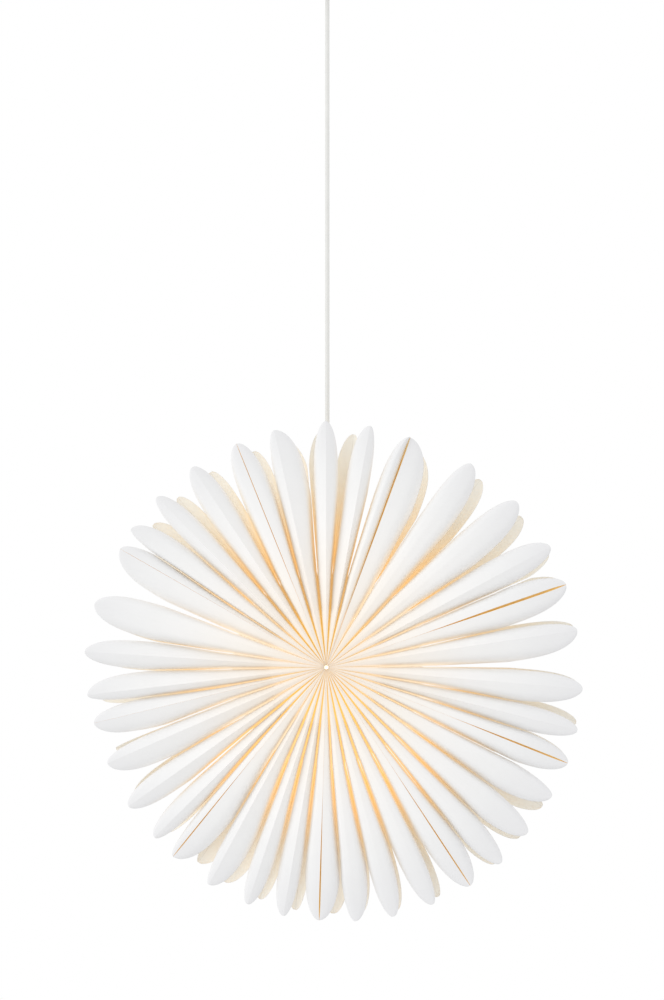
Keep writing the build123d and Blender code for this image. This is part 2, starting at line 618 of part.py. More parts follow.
with BuildPart() as barrel:
    with BuildSketch(Plane.XY.offset(BARREL_BOTTOM)):
        Circle(HOLDER_RADIUS)
    extrude(amount=BARREL_HEIGHT)
    fillet(barrel.edges().group_by(Axis.Z)[0], BARREL_LIP)
    with BuildSketch(Plane.XY.offset(CAP_BOTTOM)):
        Circle(NECK_RADIUS)
    extrude(amount=BARREL_NECK_HEIGHT)
    with BuildSketch(Plane.XY.offset(BARREL_BOTTOM)):
        Circle(SHELL_RADIUS + HOLE_CLEARANCE)
    extrude(amount=BLOCK_BOTTOM - BARREL_BOTTOM, mode=Mode.SUBTRACT)
    with BuildSketch(Plane.XY.offset(BLOCK_BOTTOM)):
        Circle(BLOCK_RADIUS + HOLE_CLEARANCE)
    extrude(amount=NECK_TOP - BLOCK_BOTTOM, mode=Mode.SUBTRACT)
save(barrel, "holder_barrel")

with BuildPart() as contact_block:
    with BuildSketch(Plane.XY.offset(BLOCK_BOTTOM)):
        Circle(BLOCK_RADIUS)
        with GridLocations(2 * RISER_OFFSET + CONTACT_THICKNESS, 0, 2, 1):
            Rectangle(
                CONTACT_THICKNESS + HOLE_CLEARANCE,
                CONTACT_WIDTH + HOLE_CLEARANCE,
                mode=Mode.SUBTRACT,
            )
        with GridLocations(2 * CONTACT_SCREW_OFFSET, 0, 2, 1):
            Circle(CONTACT_SCREW_RADIUS + HOLE_CLEARANCE / 2, mode=Mode.SUBTRACT)
    extrude(amount=CONTACT_BLOCK_HEIGHT)
save(contact_block, "contact_block")

with BuildPart() as shell:
    with BuildSketch(Plane.XY.offset(CONTACT_FACE - SHELL_HEIGHT)):
        Circle(SHELL_RADIUS)
        Circle(SHELL_RADIUS - SHELL_WALL, mode=Mode.SUBTRACT)
    extrude(amount=SHELL_HEIGHT)
save(shell, "threaded_shell")


def contact_strip(name, foot_start, foot_end, side):
    """A bent brass strip: a foot under the block, a riser through it and a tab with a screw."""
    riser = side * (RISER_OFFSET + CONTACT_THICKNESS / 2)
    tab_middle = side * (RISER_OFFSET + TAB_LENGTH / 2)
    with BuildPart() as strip:
        with BuildSketch(Plane.XZ.offset(-CONTACT_WIDTH / 2)):
            with Locations(((foot_start + foot_end) / 2, BLOCK_BOTTOM - CONTACT_THICKNESS / 2)):
                Rectangle(abs(foot_end - foot_start), CONTACT_THICKNESS)
            with Locations((riser, (BLOCK_TOP + BLOCK_BOTTOM) / 2)):
                Rectangle(CONTACT_THICKNESS, CONTACT_BLOCK_HEIGHT + 2 * CONTACT_THICKNESS)
            with Locations((tab_middle, BLOCK_TOP + CONTACT_THICKNESS / 2)):
                Rectangle(TAB_LENGTH, CONTACT_THICKNESS)
        extrude(amount=CONTACT_WIDTH)
        with BuildSketch(Plane.XY.offset(BLOCK_TOP)):
            with Locations((side * CONTACT_SCREW_OFFSET, 0)):
                Circle(CONTACT_SCREW_RADIUS + HOLE_CLEARANCE / 2)
        extrude(amount=CONTACT_THICKNESS, mode=Mode.SUBTRACT)
    save(strip, name)


contact_strip("centre_contact", -CENTRE_FOOT, RISER_OFFSET + CONTACT_THICKNESS, 1)
contact_strip("side_contact", HOLE_CLEARANCE - SHELL_RADIUS, -RISER_OFFSET, -1)

TAB_TOP = BLOCK_TOP + CONTACT_THICKNESS

with BuildPart() as contact_screws:
    with BuildSketch(Plane.XY.offset(TAB_TOP)):
        with GridLocations(2 * CONTACT_SCREW_OFFSET, 0, 2, 1):
            Circle(CONTACT_HEAD_RADIUS)
    extrude(amount=CONTACT_HEAD_HEIGHT)
    with BuildSketch(Plane.XY.offset(TAB_TOP)):
        with GridLocations(2 * CONTACT_SCREW_OFFSET, 0, 2, 1):
            Circle(CONTACT_SCREW_RADIUS)
    extrude(amount=-CONTACT_SCREW_LENGTH)
save(contact_screws, "contact_screws")

CORE_LANDING = RISER_OFFSET + HOLDER_CORE_RADIUS
CORE_START = CORD_BOTTOM - RUNNING_GAP
CORE_STEP = (CORE_START - TAB_TOP) / 4

holder_cores = [
    conductor(
        [
            (side * CORE_SPACING / 2, 0, CORE_START),
            (side * CORE_SPACING / 2, 0, CORE_START - CORE_STEP),
            (side * CORE_LANDING, 0, TAB_TOP + CORE_STEP),
            (side * CORE_LANDING, 0, TAB_TOP),
        ],
        [HOLDER_CORE_BEND, HOLDER_CORE_BEND],
        HOLDER_CORE_RADIUS,
    )
    for side in (-1, 1)
]
with BuildPart() as holder_conductors:
    add(holder_cores)
save(holder_conductors, "holder_conductors")

# Bulb: metal cap, black insulator, contact tip, glass globe, stem, filaments and their wires

with BuildPart() as bulb_cap:
    with BuildSketch(Plane.XZ):
        with BuildLine():
            Polyline(
                (INSULATOR_RADIUS, BULB_CAP_TOP),
                (BULB_CAP_RADIUS, BULB_CAP_TOP),
                (BULB_CAP_RADIUS, SKIRT_TOP),
                (SKIRT_RADIUS, SKIRT_TOP - SKIRT_FLARE),
                (SKIRT_RADIUS, SKIRT_BOTTOM),
                (SKIRT_RADIUS - BULB_CAP_WALL, SKIRT_BOTTOM),
                (SKIRT_RADIUS - BULB_CAP_WALL, SKIRT_TOP - SKIRT_FLARE),
                (BULB_CAP_RADIUS - BULB_CAP_WALL, SKIRT_TOP),
                (BULB_CAP_RADIUS - BULB_CAP_WALL, BULB_CAP_TOP - BULB_CAP_WALL),
                (INSULATOR_RADIUS, BULB_CAP_TOP - BULB_CAP_WALL),
                close=True,
            )
        make_face()
    revolve(axis=Axis.Z)
save(bulb_cap, "bulb_cap")

with BuildPart() as insulator:
    with BuildSketch(Plane.XZ):
        with BuildLine():
            Polyline(
                (CONTACT_TIP_RADIUS, BULB_CAP_TOP - INSULATOR_SPIGOT),
                (INSULATOR_RADIUS, BULB_CAP_TOP - INSULATOR_SPIGOT),
                (INSULATOR_RADIUS, BULB_CAP_TOP),
                (INSULATOR_TOP_RADIUS, INSULATOR_TOP),
                (CONTACT_TIP_RADIUS, INSULATOR_TOP),
                close=True,
            )
        make_face()
    revolve(axis=Axis.Z)
save(insulator, "bulb_insulator")

with BuildPart() as contact_tip:
    with BuildSketch(Plane.XY.offset(BULB_CAP_TOP)):
        Circle(CONTACT_TIP_RADIUS - TURNING_GAP)
    extrude(amount=INSULATOR_TOP - BULB_CAP_TOP)
    with BuildSketch(Plane.XY.offset(INSULATOR_TOP)):
        Circle(CONTACT_TIP_RADIUS - TURNING_GAP)
    extrude(amount=CONTACT_TIP_HEIGHT)
    fillet(contact_tip.edges().group_by(Axis.Z)[-1], CONTACT_TIP_HEIGHT / 2)
save(contact_tip, "bulb_contact_tip")


def glass_profile(inset):
    """Half the bulb's outline, inset by so much, with the axis as its straight side."""
    neck = GLASS_NECK_RADIUS - inset
    ball = GLOBE_RADIUS - inset
    joint = GLOBE_CENTRE + sqrt(ball**2 - neck**2)
    Polyline((0, GLASS_TOP), (neck, GLASS_TOP), (neck, joint))
    ThreePointArc((neck, joint), (ball, GLOBE_CENTRE), (0, GLOBE_CENTRE - ball))
    Line((0, GLOBE_CENTRE - ball), (0, GLASS_TOP))


with BuildPart() as globe:
    with BuildSketch(Plane.XZ):
        with BuildLine():
            glass_profile(0)
        make_face()
        with BuildLine():
            glass_profile(GLASS)
        make_face(mode=Mode.SUBTRACT)
    revolve(axis=Axis.Z)
save(globe, "bulb_globe")

with BuildPart() as stem:
    with BuildSketch(Plane.XY.offset(GLASS_TOP)):
        Circle(GLASS_NECK_RADIUS - GLASS)
    extrude(amount=-STEM_FLARE_HEIGHT)
    with BuildSketch(Plane.XY.offset(GLASS_TOP)):
        Circle(STEM_RADIUS)
    extrude(amount=-STEM_LENGTH)
    fillet(stem.edges().group_by(Axis.Z)[0], STEM_RADIUS / 2)
save(stem, "bulb_stem")

with BuildPart() as filaments:
    with BuildSketch(Plane.XY.offset(FILAMENT_TOP)):
        with PolarLocations(FILAMENT_RING, FILAMENTS):
            Circle(FILAMENT_RADIUS)
    extrude(amount=-FILAMENT_LENGTH)
save(filaments, "filaments")

# The wires leave the stem above the filaments' tops and carry them, and one runs down the middle
WIRE_TOP = FILAMENT_TOP + WIRE_RADIUS
WIRE_BOTTOM = FILAMENT_TOP - FILAMENT_LENGTH - WIRE_RADIUS

with BuildPart() as wires:
    with BuildSketch(Plane.XY.offset(GLASS_TOP - STEM_LENGTH)):
        Circle(WIRE_RADIUS)
    extrude(amount=WIRE_BOTTOM - GLASS_TOP + STEM_LENGTH)
    for height in (WIRE_TOP, WIRE_BOTTOM):
        start = STEM_RADIUS if height > GLASS_TOP - STEM_LENGTH else 0
        with BuildSketch(Plane.XY.offset(height)):
            with PolarLocations(0, FILAMENTS):
                with Locations(((start + FILAMENT_RING) / 2, 0)):
                    Rectangle(FILAMENT_RING - start, 2 * WIRE_RADIUS)
        extrude(amount=WIRE_RADIUS, both=True)
save(wires, "support_wires")
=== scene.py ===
import math

import bmesh
import bpy
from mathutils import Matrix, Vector


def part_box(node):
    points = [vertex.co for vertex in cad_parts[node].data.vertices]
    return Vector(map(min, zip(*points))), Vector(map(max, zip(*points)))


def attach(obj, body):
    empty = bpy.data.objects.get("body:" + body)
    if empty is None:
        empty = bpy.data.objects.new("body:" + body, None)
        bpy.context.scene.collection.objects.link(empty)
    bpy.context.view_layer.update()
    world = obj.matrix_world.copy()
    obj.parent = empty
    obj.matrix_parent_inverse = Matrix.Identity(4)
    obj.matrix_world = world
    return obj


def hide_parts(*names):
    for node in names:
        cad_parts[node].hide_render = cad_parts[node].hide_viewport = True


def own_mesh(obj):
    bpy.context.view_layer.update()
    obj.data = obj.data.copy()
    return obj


# The paper star lantern, dressed. Metres, +Z up, the lantern faces -Y, and the origin is on the
# ceiling where the cord comes down.

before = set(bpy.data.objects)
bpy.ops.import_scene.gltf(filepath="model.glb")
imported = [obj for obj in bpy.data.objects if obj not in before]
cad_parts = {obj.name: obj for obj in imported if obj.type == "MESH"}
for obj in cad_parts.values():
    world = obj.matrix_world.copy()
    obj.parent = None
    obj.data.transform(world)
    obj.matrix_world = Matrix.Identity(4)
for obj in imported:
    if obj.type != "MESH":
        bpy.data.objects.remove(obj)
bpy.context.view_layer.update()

# Camera
# The photograph was taken from about 3.1 m, a little to the right of the lantern and below its
# middle. The camera looks at the middle of the star, which lies low in the upright frame.

HUB = Vector((0.0, 0.0, -0.905))
FACE_DEPTH = 0.057
CAMERA_AZIMUTH = math.radians(1.2)
CAMERA_ELEVATION = math.radians(-1.5)
CAMERA_DISTANCE = 3.143
FRAME_HEIGHT = 1.205            # height of the picture at the front of the star
FRAME_SHIFT = (0.0057, 0.1673)  # the star hangs low in the picture and a little to the left

face_middle = HUB + Vector((0, -FACE_DEPTH, 0))
to_camera = Vector(
    (
        math.sin(CAMERA_AZIMUTH) * math.cos(CAMERA_ELEVATION),
        -math.cos(CAMERA_AZIMUTH) * math.cos(CAMERA_ELEVATION),
        math.sin(CAMERA_ELEVATION),
    )
)
camera_data = bpy.data.cameras.new("camera")
camera_data.sensor_width = 36
camera_data.lens = camera_data.sensor_width * CAMERA_DISTANCE / FRAME_HEIGHT
camera_data.shift_x, camera_data.shift_y = FRAME_SHIFT
camera = bpy.data.objects.new("camera", camera_data)
camera.location = face_middle + to_camera * CAMERA_DISTANCE
camera.rotation_mode = "QUATERNION"
camera.rotation_quaternion = (-to_camera).to_track_quat("-Z", "Y")
bpy.context.collection.objects.link(camera)
bpy.context.scene.camera = camera
bpy.context.scene.view_settings.view_transform = "Standard"

# Cord
# A round two-core cord with a smooth pale sheath. It is clamped above, inside the ceiling cup,
# and hangs dead straight with the lantern's weight on the grip of the lampholder.


class Level:
    """A shader number that can be used in a Python expression, which adds its Math nodes."""

    def __init__(self, finish, socket):
        self.finish = finish
        self.socket = socket

    def joined(self, operation, first, second):
        return self.finish.node("ShaderNodeMath", {"operation": operation}, [first, second])

    def __add__(self, other):
        return self.joined("ADD", self, other)

    def __sub__(self, other):
        return self.joined("SUBTRACT", self, other)

    def __rsub__(self, other):
        return self.joined("SUBTRACT", other, self)

    def __mul__(self, other):
        return self.joined("MULTIPLY", self, other)

    __radd__ = __add__
    __rmul__ = __mul__

    def step(self, low, high):
        """0 below low, 1 above high and smooth in between."""
        settings = {"interpolation_type": "SMOOTHSTEP"}
        return self.finish.node("ShaderNodeMapRange", settings, [self, low, high, 0.0, 1.0])


class Finish:
    """A material in the making, on Blender's Principled shader."""

    def __init__(self, name, **values):
        self.material = bpy.data.materials.new(name)
        self.material.use_nodes = True
        self.nodes = self.material.node_tree.nodes
        self.links = self.material.node_tree.links
        self.surface = self.nodes["Principled BSDF"]
        for socket, value in values.items():
            self.set(socket.replace("_", " "), value)

    def join(self, value, socket):
        if isinstance(value, Level):
            self.links.new(value.socket, socket)
        elif isinstance(value, (tuple, list)) and len(value) == 3 and socket.type == "RGBA":
            socket.default_value = (*value, 1)
        else:
            socket.default_value = value

    def set(self, name, value):
        self.join(value, self.surface.inputs[name])

    def node(self, kind, settings=None, inputs=(), output=0):
        """Adds a node; inputs is a list in the sockets' order, or a dict by socket name."""
        node = self.nodes.new(kind)
        for key, value in (settings or {}).items():
            if key == "stops":
                ramp = node.color_ramp
                while len(ramp.elements) < len(value):
                    ramp.elements.new(1.0)
                for element, (place, colour) in zip(ramp.elements, value):
                    element.position = place
                    element.color = (*colour, 1)
            else:
                setattr(node, key, value)
        pairs = inputs.items() if isinstance(inputs, dict) else enumerate(inputs)
        for key, value in pairs:
            self.join(value, node.inputs[key])
        return Level(self, node.outputs[output])

    def place(self):
        """The point on the surface, in the object's own frame."""
        return self.node("ShaderNodeTexCoord", output="Object")

    def axes(self, vector):
        split = self.nodes.new("ShaderNodeSeparateXYZ")
        self.links.new(vector.socket, split.inputs[0])
        return [Level(self, output) for output in split.outputs]

    def noise(self, place, scale, detail=2.0, roughness=0.5):
        inputs = {"Vector": place, "Scale": scale, "Detail": detail, "Roughness": roughness}
        return self.node("ShaderNodeTexNoise", {}, inputs)

    def stretched(self, place, x, y, z):
        return self.node("ShaderNodeVectorMath", {"operation": "MULTIPLY"}, [place, (x, y, z)])

    def ramp(self, level, stops):
        return self.node("ShaderNodeValToRGB", {"stops": stops}, [level])

    def mix(self, level, first, second):
        inputs = {0: level, 6: first, 7: second}
        return self.node("ShaderNodeMix", {"data_type": "RGBA"}, inputs, 2)

    def scaled(self, colour, level):
        settings = {"data_type": "RGBA", "blend_type": "MULTIPLY"}
        grey = self.node("ShaderNodeCombineXYZ", {}, [level, level, level])
        return self.node("ShaderNodeMix", settings, {0: 1.0, 6: colour, 7: grey}, 2)

    def bump(self, height, depth, strength=1.0):
        inputs = {"Strength": strength, "Distance": depth, "Height": height}
        self.set("Normal", self.node("ShaderNodeBump", {}, inputs))


CORD_DIAMETER = 0.0055
CORD_ROUTE = [(0, 0, -0.0153), (0, 0, -0.29), (0, 0, -0.58), (0, 0, -0.855)]

curve = bpy.data.curves.new("cord_sheath", "CURVE")
curve.dimensions = "3D"
curve.bevel_depth = CORD_DIAMETER / 2
curve.bevel_resolution = 6
curve.use_fill_caps = True
route = curve.splines.new("NURBS")
route.points.add(len(CORD_ROUTE) - 1)
for point, place in zip(route.points, CORD_ROUTE):
    point.co = (*place, 1)
route.order_u = 3
route.use_endpoint_u = True
route.resolution_u = 12
cord = bpy.data.objects.new("cord_sheath", curve)
bpy.context.collection.objects.link(cord)

sheath = Finish("cord_sheath", Roughness=0.42, Specular_IOR_Level=0.45)
sheath_place = sheath.place()
cloud = sheath.noise(sheath_place, 40.0)
grain = sheath.noise(sheath.stretched(sheath_place, 1, 1, 0.2), 2600.0)
sheath.set("Base Color", sheath.mix(cloud, (0.70, 0.70, 0.68), (0.78, 0.78, 0.76)))
sheath.bump(grain, 0.00004, 0.5)
curve.materials.append(sheath.material)

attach(cord, "ceiling")
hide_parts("cord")

# Ceiling bracket, cord clamp and terminal block
# A zinc-plated steel strip screwed to the ceiling, with a bent tongue that the cord is clamped
# to. The terminal block beside it takes the cord's brown and blue cores.


def dress(material, *nodes):
    for node in nodes:
        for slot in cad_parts[node].material_slots:
            slot.material = material


def rolled_metal(name, colour, dull_colour, roughness, grain):
    """Metal with a fine grain along one direction, a little duller in patches."""
    metal = Finish(name, Metallic=1.0)
    place = metal.place()
    patches = metal.noise(place, 160.0, 3.0)
    lines = metal.noise(metal.stretched(place, *grain), 1800.0, 2.0)
    metal.set("Base Color", metal.mix(patches.step(0.40, 0.68), colour, dull_colour))
    metal.set("Roughness", roughness + 0.12 * lines + 0.08 * patches)
    metal.bump(lines, 0.00002, 0.4)
    return metal.material


def moulded_plastic(name, colour, shade, roughness, texture):
    """Plastic with the fine spark-eroded skin of its mould."""
    plastic = Finish(name, Specular_IOR_Level=0.5)
    place = plastic.place()
    clouds = plastic.noise(place, 45.0)
    skin = plastic.noise(place, 2400.0, 2.0)
    plastic.set("Base Color", plastic.mix(clouds, colour, shade))
    plastic.set("Roughness", roughness + 0.10 * skin)
    plastic.bump(skin, texture, 0.5)
    return plastic.material


dress(
    rolled_metal("zinc_steel", (0.62, 0.63, 0.65), (0.48, 0.49, 0.51), 0.30, (0.05, 1, 1)),
    "ceiling_bracket",
    "cord_clamp",
    "hanger_bar",
)
dress(
    rolled_metal("screw_steel", (0.56, 0.55, 0.53), (0.40, 0.39, 0.37), 0.22, (1, 1, 0.1)),
    "clamp_screws",
    "terminal_screws",
    "cup_screw",
    "grip_screw",
    "contact_screws",
)
dress(
    moulded_plastic("terminal_plastic", (0.74, 0.73, 0.69), (0.66, 0.65, 0.60), 0.34, 0.00003),
    "terminal_block",
)


def core_insulation(name, axis):
    """The blue core lies on the lower side of the cord's middle along the axis, the brown above."""
    insulation = Finish(name, Specular_IOR_Level=0.4)
    place = insulation.place()
    side = insulation.axes(place)[axis].step(-0.00005, 0.00005)
    smear = insulation.noise(place, 300.0)
    blue = insulation.mix(smear, (0.020, 0.110, 0.360), (0.030, 0.140, 0.400))
    brown = insulation.mix(smear, (0.150, 0.055, 0.022), (0.190, 0.075, 0.032))
    insulation.set("Base Color", insulation.mix(side, blue, brown))
    insulation.set("Roughness", 0.36 + 0.12 * smear)
    return insulation.material


dress(core_insulation("ceiling_cores", 1), "ceiling_conductors")
dress(core_insulation("holder_cores", 0), "holder_conductors")

# Ceiling cup
# A turned-out cup of white plastic that hides the clamp. It is held up by a nylon grip with a
# neck through its floor, a nut inside and a small screw that bites on the cord.

dress(
    moulded_plastic("white_plastic", (0.80, 0.80, 0.79), (0.76, 0.76, 0.745), 0.28, 0.00003),
    "ceiling_cup",
)
dress(
    moulded_plastic("nylon", (0.74, 0.735, 0.70), (0.69, 0.68, 0.64), 0.38, 0.00004),
    "cup_grip",
    "cup_nut",
    "cord_grip",
)

# Lampholder
# A white two-part plastic holder, its cap screwed on its barrel. Inside are the ceramic contact
# block, the brass contact strips and the threaded brass shell that the bulb screws into.

dress(
    moulded_plastic("holder_plastic", (0.78, 0.78, 0.76), (0.73, 0.73, 0.70), 0.30, 0.00004),
    "holder_cap",
    "holder_barrel",
)
ceramic = Finish("contact_ceramic", Specular_IOR_Level=0.5, Coat_Weight=0.35, Coat_Roughness=0.12)
ceramic_place = ceramic.place()
ceramic_cloud = ceramic.noise(ceramic_place, 220.0, 3.0)
specks = ceramic.noise(ceramic_place, 3200.0).step(0.66, 0.74)
ceramic_body = ceramic.mix(ceramic_cloud, (0.74, 0.71, 0.64), (0.66, 0.62, 0.54))
ceramic.set("Base Color", ceramic.mix(specks, ceramic_body, (0.38, 0.34, 0.28)))
ceramic.set("Roughness", 0.34 + 0.2 * ceramic_cloud)
ceramic.bump(ceramic_cloud, 0.00005, 0.4)
dress(ceramic.material, "contact_block")
dress(
    rolled_metal("brass", (0.78, 0.58, 0.26), (0.58, 0.41, 0.18), 0.26, (1, 1, 0.1)),
    "threaded_shell",
    "centre_contact",
    "side_contact",
)

# Bulb
# A small-screw lamp with an opal globe. The thread is rolled into its nickel-plated cap, which
# ends in black glass and a drop of solder, and is crimped round the neck of the globe.

CAP_HEIGHT = 0.019                  # above the flared skirt
THREAD_RADIUS = 0.0069
THREAD_START, THREAD_TOP = 0.0012, 0.0166   # above the skirt
THREAD_FADE = 0.001
THREAD_PITCH = 0.00282
THREAD_DEPTH = 0.00055
CAP_ROUNDING_START, CAP_ROUNDING = 0.0180, 0.0010
CAP_TOP_RADIUS = 0.0063
CAP_OPENING_RADIUS = 0.0050
CAP_WALL = 0.0003
SKIRT_FLARE = 0.002
CRIMPS = 16
CRIMP_HEIGHT, CRIMP_REACH = 0.0018, 0.0007  # above the cap's lower edge
CRIMP_DEPTH = 0.0003
CAP_TURN_STEPS, CAP_HEIGHT_STEPS = 96, 120
CAP_SEAM = 0.000005                 # the two ends of the cap's grid lie closer than this
CAP_RIM = 0.0001                    # and its upper rim lies this close to the top

cap_low, cap_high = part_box("bulb_cap")
skirt_radius = cap_high[0]
skirt_top = cap_high[2] - CAP_HEIGHT


def cap_radius(turn, height):
    """Radius of the cap at a height: a crimped skirt below, the rolled thread above it."""
    rise = height - skirt_top
    if rise < 0:
        flare = math.sin(min(1.0, -rise / SKIRT_FLARE) * math.pi / 2)
        dent = max(0.0, math.cos(CRIMPS * turn)) ** 6
        crimped = max(0.0, 1 - abs(height - cap_low[2] - CRIMP_HEIGHT) / CRIMP_REACH)
        return THREAD_RADIUS + (skirt_radius - THREAD_RADIUS) * flare - CRIMP_DEPTH * crimped * dent
    wave = 0.5 - 0.5 * math.cos(2 * math.pi * rise / THREAD_PITCH - turn)
    start = max(0.0, rise - THREAD_START) / THREAD_FADE
    end = max(0.0, THREAD_TOP - rise) / THREAD_FADE
    rounded = max(0.0, rise - CAP_ROUNDING_START) / CAP_ROUNDING
    cut = THREAD_DEPTH * wave * min(1.0, start, end)
    return THREAD_RADIUS - cut - (THREAD_RADIUS - CAP_TOP_RADIUS) * rounded * rounded


def threaded_cap():
    bm = bmesh.new()
    bmesh.ops.create_grid(bm, x_segments=CAP_TURN_STEPS, y_segments=CAP_HEIGHT_STEPS, size=0.5)
    bottom, top = cap_low[2], cap_high[2]
    for vert in bm.verts:
        turn = (vert.co.x + 0.5) * 2 * math.pi
        height = bottom + (vert.co.y + 0.5) * (top - bottom)
        radius = cap_radius(turn, height)
        vert.co = (radius * math.cos(turn), radius * math.sin(turn), height)
    bmesh.ops.remove_doubles(bm, verts=bm.verts, dist=CAP_SEAM)
    rim = [edge for edge in bm.edges if edge.is_boundary and edge.verts[0].co.z > top - CAP_RIM]
    collar = bmesh.ops.extrude_edge_only(bm, edges=rim)
    inner = [item for item in collar["geom"] if isinstance(item, bmesh.types.BMVert)]
    shrink = CAP_OPENING_RADIUS / CAP_TOP_RADIUS
    bmesh.ops.scale(bm, vec=(shrink, shrink, 1), verts=inner)
    bmesh.ops.recalc_face_normals(bm, faces=bm.faces)
    for face in bm.faces:
        face.smooth = True
    mesh = bpy.data.meshes.new("threaded_cap")
    bm.to_mesh(mesh)
    bm.free()
    cap = bpy.data.objects.new("threaded_cap", mesh)
    bpy.context.collection.objects.link(cap)
    thick = cap.modifiers.new("thickness", "SOLIDIFY")
    thick.thickness = CAP_WALL
    thick.offset = -1
    return cap


cap = threaded_cap()
cap.data.materials.append(
    rolled_metal("bulb_cap_metal", (0.66, 0.64, 0.60), (0.50, 0.48, 0.44), 0.20, (1, 1, 0.1))
)
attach(cap, "bulb")
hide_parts("bulb_cap")

black_glass = Finish("black_glass", Specular_IOR_Level=0.5, Coat_Weight=0.5, Coat_Roughness=0.08)
streaks = black_glass.noise(black_glass.place(), 500.0, 3.0)
black_glass.set("Base Color", black_glass.mix(streaks, (0.012, 0.012, 0.014), (0.035, 0.03, 0.032)))
black_glass.set("Roughness", 0.16 + 0.2 * streaks)
dress(black_glass.material, "bulb_insulator")
dress(
    rolled_metal("solder", (0.60, 0.60, 0.59), (0.42, 0.42, 0.41), 0.34, (1, 1, 1)),
    "bulb_contact_tip",
)

# The globe is brightest low down, where the filaments are, and warmer near its neck
opal = Finish("opal_glass", Specular_IOR_Level=0.5, Coat_Weight=0.6, Coat_Roughness=0.05)
opal.set("Emission Strength", 1.6)
NECK_START = 0.046                  # above the globe's lowest point
opal_low, opal_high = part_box("bulb_globe")
_, _, opal_height = opal.axes(opal.place())
neck = opal_height.step(opal_low[2] + NECK_START, opal_high[2])
milk = opal.noise(opal.place(), 90.0, 3.0)
opal.set("Base Color", opal.mix(milk, (0.86, 0.84, 0.79), (0.80, 0.78, 0.72)))
opal.set("Emission Color", opal.mix(neck, (1.0, 0.90, 0.70), (0.45, 0.27, 0.12)))
opal.set("Roughness", 0.18 + 0.10 * milk)
dress(opal.material, "bulb_globe")

clear = Finish("clear_glass", Transmission_Weight=1.0, IOR=1.5)
ripple = clear.noise(clear.place(), 400.0)
clear.set("Base Color", clear.mix(ripple, (0.96, 0.97, 0.96), (0.90, 0.92, 0.90)))
clear.set("Roughness", 0.03 + 0.05 * ripple)
dress(clear.material, "bulb_stem")

filament = Finish("filament", Emission_Strength=4.0)
coils = filament.noise(filament.stretched(filament.place(), 1, 1, 6), 900.0)
filament.set("Base Color", filament.mix(coils, (0.90, 0.66, 0.25), (0.80, 0.55, 0.18)))
filament.set("Emission Color", filament.mix(coils, (1.0, 0.72, 0.32), (1.0, 0.60, 0.22)))
filament.set("Roughness", 0.5 + 0.2 * coils)
dress(filament.material, "filaments")
dress(
    rolled_metal("wire_steel", (0.58, 0.57, 0.55), (0.44, 0.43, 0.41), 0.26, (1, 1, 0.1)),
    "support_wires",
)

# Folded paper sheets
# Nine sheets of thin white paper in front and nine behind, each pleated by hand into four
# petals. Front and back are glued along the valleys, and each sheet ends on a petal's ridge,
# where it lies edge to edge with the next one. Opened out, no two petals are spaced alike.

# Bearings are in degrees round the hub, the front's and back's tips and the valleys after them,
# and lengths in metres. The half widths are in millimetres, before and after each ridge, and
# those of the back are given where they differ from the front's.
FRONT_TIPS = [
    90.1, 79.7, 69.9, 54.4, 40.8, 28.2, 19.0, 8.3, -4.9, -14.2, -21.7, -29.9,
    -39.6, -48.3, -56.6, -65.8, -74.9, -83.4, -91.6, -99.8, -108.4, -118.4, -129.0, -135.3,
    -144.9, -156.3, -166.5, -173.4, -183.7, -195.3, -209.9, -215.4, -225.1, -236.2, -248.1, -257.6,
]
BACK_TIPS = [
    93.0, 84.8, 69.9, 52.0, 38.7, 28.2, 20.8, 10.0, -4.0, -12.3, -21.3, -33.1,
    -41.8, -50.0, -57.3, -65.0, -75.0, -83.8, -89.8, -98.8, -107.5, -116.9, -124.8, -135.9,
    -148.0, -160.0, -167.0, -172.8, -183.7, -195.0, -210.8, -219.0, -228.1, -238.4, -250.1, -258.0,
]
VALLEYS = [
    86.9, 77.4, 60.4, 47.5, 35.6, 25.0, 13.0, 1.2, -9.1, -17.0, -26.6, -35.8,
    -44.7, -52.6, -62.1, -71.2, -79.2, -87.1, -96.7, -105.3, -113.2, -122.2, -133.1, -141.1,
    -150.2, -162.1, -169.8, -179.8, -188.9, -201.1, -212.8, -221.1, -230.2, -240.6, -253.1, -264.0,
]
PETAL_LENGTHS = [
    0.297, 0.296, 0.295, 0.301, 0.304, 0.306, 0.305, 0.305, 0.309, 0.311, 0.312, 0.312,
    0.313, 0.315, 0.314, 0.312, 0.310, 0.307, 0.304, 0.303, 0.300, 0.297, 0.293, 0.291,
    0.291, 0.288, 0.288, 0.290, 0.292, 0.290, 0.287, 0.289, 0.290, 0.291, 0.291, 0.293,
]
HALF_WIDTHS = [
    (15.4, 14.6), (17.6, 11.0), (18.4, 32.5), (15.8, 23.0), (17.8, 23.2), (20.8, 16.6),
    (20.5, 24.0), (14.5, 25.0), (17.4, 20.2), (16.2, 15.0), (18.0, 21.4), (13.5, 23.6),
    (16.0, 21.4), (15.8, 16.2), (21.6, 20.8), (12.5, 17.4), (16.2, 14.4), (20.2, 12.3),
    (23.8, 18.9), (11.8, 16.0), (14.6, 12.8), (23.4, 10.4), (27.4, 10.6), (11.8, 16.2),
    (16.6, 16.6), (22.8, 13.2), (20.8, 16.4), (10.0, 21.0), (16.0, 17.8), (22.8, 20.1),
    (27.0, 15.6), (9.0, 20.8), (12.9, 16.4), (18.0, 17.0), (19.0, 19.8), (12.0, 26.6),
]
